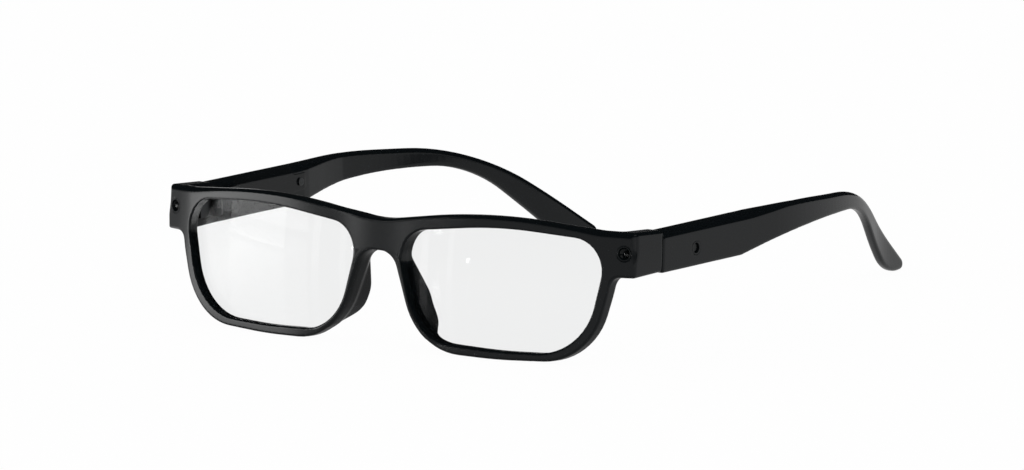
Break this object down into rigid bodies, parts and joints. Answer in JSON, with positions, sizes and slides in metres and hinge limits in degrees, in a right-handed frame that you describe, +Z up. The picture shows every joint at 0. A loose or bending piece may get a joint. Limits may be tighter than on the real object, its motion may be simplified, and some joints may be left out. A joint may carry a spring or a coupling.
{
  "type": "lighted reading glasses",
  "caption": "Reading glasses with rounded rectangular lenses, moulded nose pads, small lamps in the end pieces, and folding temples with push buttons and cells.",
  "frame": {"origin": "middle of the bounding box's base: midway between the temples, on the surface that the rims and the temple tips stand on", "axes": "+X is the wearer's left, -Y is the way the lenses face, +Y runs back towards the temple tips, +Z is up"},
  "size_m": [0.142, 0.1488, 0.0342],
  "materials": {
    "frame_plastic": "glossy black moulding",
    "temple_plastic": "satin black moulding",
    "cover_plastic": "fine matt black",
    "button_plastic": "satin black",
    "switch_plastic": "matt",
    "lens": "clear polished acrylic",
    "led_resin": "clear cast resin",
    "board": "solder resist",
    "steel": "plain",
    "cell_steel": "nickel plated",
    "contact_metal": "plated"
  },
  "bodies": {
    "front": {"front_frame": "frame_plastic", "lens_left": "lens", "lens_right": "lens", "led_left": "led_resin", "led_right": "led_resin", "led_board_left": "board", "led_board_right": "board", "endpiece_cap_left": "cover_plastic", "endpiece_cap_right": "cover_plastic", "front_hinge_leaf_left": "steel", "front_hinge_leaf_right": "steel", "hinge_screw_left": "steel", "hinge_screw_right": "steel", "contact_pads_left": "contact_metal", "contact_pads_right": "contact_metal"},
    "temple_left": {"temple_arm_left": "temple_plastic", "temple_hinge_leaf_left": "steel", "battery_cover_left": "cover_plastic", "cover_screw_left": "steel", "battery_cells_left": "cell_steel", "battery_contacts_left": "contact_metal", "circuit_board_left": "board", "switch_body_left": "switch_plastic", "contact_pins_left": "contact_metal"},
    "temple_right": {"temple_arm_right": "temple_plastic", "temple_hinge_leaf_right": "steel", "battery_cover_right": "cover_plastic", "cover_screw_right": "steel", "battery_cells_right": "cell_steel", "battery_contacts_right": "contact_metal", "circuit_board_right": "board", "switch_body_right": "switch_plastic", "contact_pins_right": "contact_metal"},
    "button_left": {"power_button_left": "button_plastic"},
    "button_right": {"power_button_right": "button_plastic"}
  },
  "joints": [
    {"name": "temple_left_fold", "type": "hinge", "parent": "front", "child": "temple_left", "pos_m": [0.0645, -0.05361, 0.02639], "axis": [0, 0, 1], "range_deg": [0, 85]},
    {"name": "temple_right_fold", "type": "hinge", "parent": "front", "child": "temple_right", "pos_m": [-0.0645, -0.05361, 0.02639], "axis": [0, 0, -1], "range_deg": [0, 79]},
    {"name": "button_left_press", "type": "slide", "parent": "temple_left", "child": "button_left", "axis": [-1, 0, 0], "range_m": [0, 0.0003], "stiffness_N_per_m": 2000, "springref_m": -0.0002},
    {"name": "button_right_press", "type": "slide", "parent": "temple_right", "child": "button_right", "axis": [1, 0, 0], "range_m": [0, 0.0003], "stiffness_N_per_m": 2000, "springref_m": -0.0002}
  ]
}
